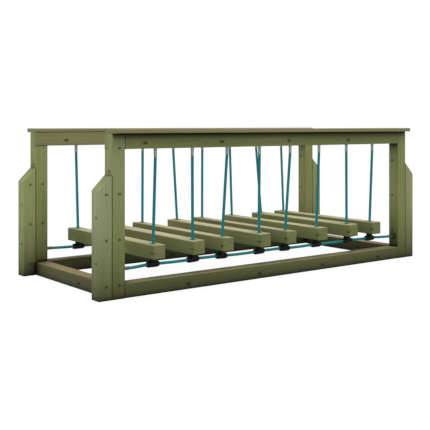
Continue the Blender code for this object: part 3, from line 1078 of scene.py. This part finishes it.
def sleeve_profile():
    """Radius and height from the blind end of the bore, round the lip and up the outside.

    The crimps are two smooth dips: the radius less CRIMP_DEPTH times a squared sine.
    """
    washer = SLEEVE_LENGTH - WASHER_HEIGHT
    outside = np.linspace(BODY_FROM, washer - 2 * WASHER_CHAMFER, SLEEVE_STEPS)
    share = (outside - CRIMPS_FROM) / CRIMPS_LENGTH
    dip = np.where((share > 0) & (share < 1), np.sin(2 * pi * share) ** 2, 0.0)
    body = np.stack([SLEEVE_WAIST - CRIMP_DEPTH * dip, outside], axis=1)
    return [
        (0, SLEEVE_DEEP),
        (SLEEVE_BORE, SLEEVE_DEEP),
        (SLEEVE_BORE, 0.0012),
        (SLEEVE_BORE + 0.0003, 0.0003),
        (SLEEVE_RADIUS - 0.0005, 0.0),
        (SLEEVE_RADIUS, 0.0008),
        (SLEEVE_RADIUS, 0.0024),
        *body.tolist(),
        (SLEEVE_WAIST, washer - WASHER_CHAMFER),
        (SLEEVE_RADIUS, washer),
        (SLEEVE_RADIUS, SLEEVE_LENGTH),
        (0, SLEEVE_LENGTH),
    ]


sleeve = turned("sleeve", sleeve_profile(), SLEEVE_STEPS)
print("faces of a sleeve:", len(sleeve.polygons))

# %% [markdown]
# The zinc on the sleeves is dull and spotted. Near the ground it is painted a dark olive, as painted
# shade, so the second colour comes in with the height. The sleeves of one rail are joined to one piece.

# %% Steel, and the sleeves in their places
ZINC = (0.29, 0.34, 0.32)
ZINC_SPOT = (0.21, 0.25, 0.24)
ZINC_PAINTED_SHADE = (0.080, 0.085, 0.050)
SPOT_SCALE = 110.0
SPOTS = (0.40, 0.65)
PAINTED_SHADE_BY_HEIGHT = (0.25, 0.60, 0.85, 0.0)
PRESS_STRETCH = (260.0, 260.0, 900.0)


def steel_material():
    """Dull zinc-plated steel with fine marks of the press, and painted shade near the ground."""
    material, tree, shader = new_material("ferrule_steel")
    place = flow(tree, "ShaderNodeTexCoord", "Object")
    marks = noise(stretched(place, PRESS_STRETCH), 1.0, detail=3.0)
    colour = mix_colours(between(noise(place, SPOT_SCALE), *SPOTS), ZINC, ZINC_SPOT)
    # Painted shade: the zinc darkens towards the ground, below 0.6 m
    colour = mix_colours(between(split(place)[2], *PAINTED_SHADE_BY_HEIGHT), colour, ZINC_PAINTED_SHADE)
    bump = {"Height": marks, "Strength": 0.2, "Distance": 0.0004}
    finish_shader(shader, colour, bump, {"Roughness": marks * 0.25 + 0.32, "Metallic": 0.85})
    return material


def sleeve_row(name, node, places):
    """Several sleeves as one piece of the frame, each still a closed shape of its own."""
    bm = bmesh.new()
    for place in places:
        bm.from_mesh(placed(sleeve, place))
    row = bpy.data.meshes.new(name)
    bm.to_mesh(row)
    bm.free()
    finish_piece(name, tidied(row), ferrule_steel, "frame", node)


ferrule_steel = steel_material()
for side_name, side in SIDES.items():
    across = side * ANCHOR_Y
    hung = [Matrix.Translation((place.translation.x, across, PIVOT_HEIGHT)) for place in steps]
    sleeve_row(f"rope_sleeves_{side_name}", f"top_beam_{side_name}", hung)
    rope_low, rope_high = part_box(f"bottom_rope_{side_name}")
    lying = []
    for reach, way in ((rope_low.x, 1), (rope_high.x, -1)):
        mouth = Matrix.Translation((reach + way * SLEEVE_LENGTH, across, BOTTOM_ROPE_HEIGHT))
        lying.append(mouth @ Matrix.Rotation(-way * pi / 2, 4, "Y"))
    sleeve_row(f"end_sleeves_{side_name}", f"bottom_rope_{side_name}", lying)
print("sleeves:", 2 * (len(steps) + 2), "of", SLEEVE_LENGTH, "m")

# %% [markdown]
# ## Connectors
# Below each beam the hanging rope ends in a black moulded fitting, and the bottom rope runs through
# its barrel. It is two turned shapes joined: a barrel with chamfered mouths and a wide neck that
# carries the beam. A raised line runs round the middle where the mould closed.

# %% The connector's shape
CONNECTOR_LENGTH = 0.094
CONNECTOR_RADIUS = 0.0210
CONNECTOR_END_RADIUS = 0.0165
CONNECTOR_TAPER = 0.011
CONNECTOR_STEPS = 36
MOUTH_ROUND = 0.0015
TAPER_ROUND = 0.003
MOULD_LINE = 0.0006
NECK_RADIUS = 0.0235
NECK_SHOULDER = 0.006
NECK_CORNER = NECK_SHOULDER * 0.4
NECK_INNER = 0.002
NECK_ROUND = 0.005
NECK_TOP = BEAM_TOP - BEAM_SIDE - NODE_GAP - BOTTOM_ROPE_HEIGHT
BARREL_CUTTER_HALF = 0.06


def rounded_line(start, corner, finish, radius, steps=5):
    """Points of a quarter-like round that replaces a corner, as a quadratic curve."""
    start, corner, finish = (np.array(point, float) for point in (start, corner, finish))
    first = corner + (start - corner) / np.linalg.norm(start - corner) * radius
    last = corner + (finish - corner) / np.linalg.norm(finish - corner) * radius
    share = np.linspace(0, 1, steps)[:, None]
    return ((1 - share) ** 2 * first + 2 * share * (1 - share) * corner + share**2 * last).tolist()


def barrel_profile():
    """Half of the barrel's outline, mirrored: mouth, chamfer, body and the mould's raised line."""
    half = CONNECTOR_LENGTH / 2
    mouth = (CONNECTOR_END_RADIUS, half)
    shoulder = (CONNECTOR_RADIUS, half - CONNECTOR_TAPER)
    outer = [(0, half), (BORE_RADIUS, half)]
    outer += rounded_line((BORE_RADIUS, half), mouth, shoulder, MOUTH_ROUND)
    outer += rounded_line(mouth, shoulder, (CONNECTOR_RADIUS, 0), TAPER_ROUND)
    outer += [(CONNECTOR_RADIUS, 2 * MOULD_LINE), (CONNECTOR_RADIUS + MOULD_LINE, MOULD_LINE)]
    return outer + [(radius, -height) for radius, height in outer[::-1]]


def neck_profile():
    """The neck's outline from the barrel's middle up to the beam, with a round shoulder."""
    foot = NECK_RADIUS - NECK_SHOULDER
    top = (NECK_RADIUS, NECK_TOP)
    shoulder = rounded_line((foot, 0), (NECK_RADIUS, NECK_CORNER), top, NECK_ROUND)
    rim = rounded_line((NECK_RADIUS, 0), top, (0, NECK_TOP), MOUTH_ROUND)
    return [(0, 0), (foot - NECK_INNER, 0), *shoulder, *rim, (0, NECK_TOP)]


def connector_mesh():
    """The fitting about the middle of its barrel, whose axis is X."""
    end = BARREL_CUTTER_HALF
    barrel = turned("barrel", barrel_profile(), CONNECTOR_STEPS)
    bore = turned("bore", [(0, -end), (BORE_RADIUS, -end), (BORE_RADIUS, end), (0, end)], CONNECTOR_STEPS)
    for lying in (barrel, bore):
        lying.transform(Matrix.Rotation(pi / 2, 4, "Y"))
    neck = turned("neck", neck_profile(), CONNECTOR_STEPS)
    return carved("connector", barrel, [("UNION", neck), ("DIFFERENCE", bore)])


connector = connector_mesh()
print("faces of a connector:", len(connector.polygons))

# %% [markdown]
# Moulded nylon is nearly black and matt. A fine grain in its bump breaks up the highlights, and a
# slow noise gives the faint brown bloom that it gets outdoors.

# %% Plastic, and the connectors in their places
NYLON = (0.006, 0.006, 0.006)
NYLON_BLOOM = (0.018, 0.009, 0.008)
BLOOM_SCALE = 38.0
BLOOM = (0.40, 0.70)
MOULD_GRAIN_SCALE = 900.0


def plastic_material():
    """Near-black moulded nylon, matt, with a faint brown bloom."""
    material, tree, shader = new_material("black_plastic")
    place = flow(tree, "ShaderNodeTexCoord", "Object")
    bloom = noise(place, BLOOM_SCALE, detail=3.0)
    colour = mix_colours(between(bloom, *BLOOM), NYLON, NYLON_BLOOM)
    bump = {"Height": noise(place, MOULD_GRAIN_SCALE), "Strength": 0.25, "Distance": 0.0002}
    finish_shader(shader, colour, bump, {"Roughness": bloom * 0.2 + 0.42, "Specular IOR Level": 0.10})
    return material


black_plastic = plastic_material()
for number, place in enumerate(steps, 1):
    for side_name, side in SIDES.items():
        mesh = placed(connector, place @ Matrix.Translation((0, side * CONNECTOR_Y, -CONNECTOR_DROP)))
        name, node = (f"{kind}_{side_name}_{number}" for kind in ("connector", "hanging_rope"))
        finish_piece(name, mesh, black_plastic, f"step_{number}", node)
print("connectors:", 2 * len(steps))

# %% [markdown]
# ## Bottom ropes
# One rope on each side runs from post to post through all the connectors and limits how far a beam
# can swing. Between two connectors it leaves one barrel straight, sags a little and enters the next.
# A Hermite curve has those end directions, and 16 t^2 (1 - t)^2 is a sag that leaves them alone. The
# rope is cut at the middle of each span and inside each barrel, into a left and a right half for each
# beam.

# %% The path of a bottom rope
BOTTOM_ROPE_SAG = 0.001
ROPE_STIFFNESS = 0.30
ROPE_IN_SLEEVE = 0.004
SPAN_POINTS = 60


def barrel_mouth(place, side, way):
    """A mouth of a connector at rest and the direction of its barrel, as arrays."""
    local = Vector((way * CONNECTOR_LENGTH / 2, side * CONNECTOR_Y, -CONNECTOR_DROP))
    return np.array(place @ local), np.array(place.to_3x3() @ Vector((1, 0, 0)))


def span_path(start, start_way, finish, finish_way):
    """A Hermite curve from start to finish, with the sag taken off its height."""
    share = np.linspace(0, 1, SPAN_POINTS)[:, None]
    reach = np.linalg.norm(finish - start) * ROPE_STIFFNESS
    blend = 2 * share**3 - 3 * share**2 + 1
    leave = (share**3 - 2 * share**2 + share) * reach
    arrive = (share**3 - share**2) * reach
    path = start * blend + start_way * leave + finish * (1 - blend) + finish_way * arrive
    path[:, 2] -= (BOTTOM_ROPE_SAG * 16 * share**2 * (1 - share) ** 2)[:, 0]
    return path


def rope_spans(node, side):
    """The paths of one rope from its left sleeve through every barrel to its right one."""
    low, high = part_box(node)
    along = np.array([1.0, 0.0, 0.0])
    reach = SLEEVE_LENGTH - ROPE_IN_SLEEVE
    here, way = np.array([low.x + reach, side * ANCHOR_Y, BOTTOM_ROPE_HEIGHT]), along
    spans = []
    for place in steps:
        spans.append(span_path(here, way, *barrel_mouth(place, side, -1)))
        here, way = barrel_mouth(place, side, 1)
    last = np.array([high.x - reach, side * ANCHOR_Y, BOTTOM_ROPE_HEIGHT])
    return [*spans, span_path(here, way, last, along)]


def evenly(path):
    """The same path with its points about ROPE_STATION apart, and its length."""
    length = lengths_along(path)
    places = np.linspace(0, length[-1], max(2, round(length[-1] / ROPE_STATION)) + 1)
    return np.stack([np.interp(places, length, part) for part in path.T], axis=1), length[-1]


print("points of a rope from sleeve to sleeve:", sum(map(len, rope_spans("bottom_rope_front", -1))))

# %% [markdown]
# Each half lists two bodies: for the left half of a beam's rope the frame at its start and the beam at
# its end, and for the right half the other way round, though neither half is attached to them. The
# outermost halves are whole spans, because the frame holds them.

# %% Bottom ropes
def bottom_rope(side_name, side):
    """All the halves of one bottom rope, from the left post to the right one."""
    node = f"bottom_rope_{side_name}"
    spans = rope_spans(node, side)
    travelled = 0.0
    for number in range(1, len(spans)):
        before, beyond = spans[number - 1:number + 1]
        middle = (before[-1] + beyond[0]) / 2
        first = before if number == 1 else before[SPAN_POINTS // 2:]
        second = beyond if number == len(spans) - 1 else beyond[:SPAN_POINTS // 2 + 1]
        step = f"step_{number}"
        halves = (
            ("left", np.vstack([first, middle]), first[0], before[-1], ("frame", step)),
            ("right", np.vstack([middle, second]), beyond[0], second[-1], (step, "frame")),
        )
        for label, route, start, finish, bodies in halves:
            path, length = evenly(route)
            name = f"{node}_{number}_{label}"
            mesh = rope_mesh(name, path, (0, 0, 1), travelled)
            travelled += length
            piece = show(name, mesh)
            mesh.materials.append(teal_rope)
            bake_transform(piece)
            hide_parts(node)
    print(node, "is", round(travelled, 3), "m long, in", 2 * len(steps), "pieces")


for side_name, side in SIDES.items():
    bottom_rope(side_name, side)
